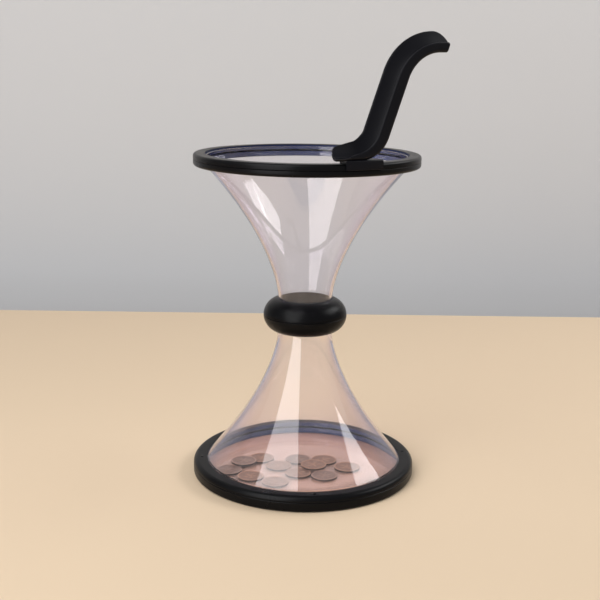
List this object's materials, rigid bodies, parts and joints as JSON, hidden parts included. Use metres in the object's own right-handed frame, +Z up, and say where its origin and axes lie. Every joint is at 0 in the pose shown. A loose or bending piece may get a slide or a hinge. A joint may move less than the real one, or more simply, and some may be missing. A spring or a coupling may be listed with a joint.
{
  "type": "vortex coin bank",
  "caption": "Hourglass vortex coin bank: clear flared funnel and bell, black rings, round waist collar, coins inside and a banked coin chute clipped on the rim.",
  "frame": {"origin": "centre of the underside, on the surface that the bank stands on", "axes": "+Z up along the axis of the shells, -Y towards the front of the picture, +X to the right"},
  "size_m": [0.1909, 0.18, 0.3519],
  "materials": {
    "clear_shell": "clear gloss",
    "clear_disc": "clear gloss",
    "collar_black": "satin gloss",
    "ring_black": "satin gloss",
    "pin_black": "gloss",
    "ramp_black": "satin",
    "coin_bronze": "worn",
    "coin_nickel": "worn"
  },
  "bodies": {
    "root": {"base_ring_lower": "ring_black", "base_ring_pins": "pin_black", "base_ring_upper": "ring_black", "coin_01": "coin_nickel", "coin_02": "coin_bronze", "coin_03": "coin_bronze", "coin_04": "coin_nickel", "coin_05": "coin_bronze", "coin_06": "coin_bronze", "coin_07": "coin_nickel", "coin_08": "coin_bronze", "coin_09": "coin_bronze", "coin_10": "coin_nickel", "coin_11": "coin_bronze", "coin_12": "coin_bronze", "coin_ramp": "ramp_black", "floor_disc": "clear_disc", "lower_bell": "clear_shell", "rim_ring_lower": "ring_black", "rim_ring_pins": "pin_black", "rim_ring_upper": "ring_black", "upper_funnel": "clear_shell", "waist_collar_lower": "collar_black", "waist_collar_upper": "collar_black"}
  },
  "joints": []
}
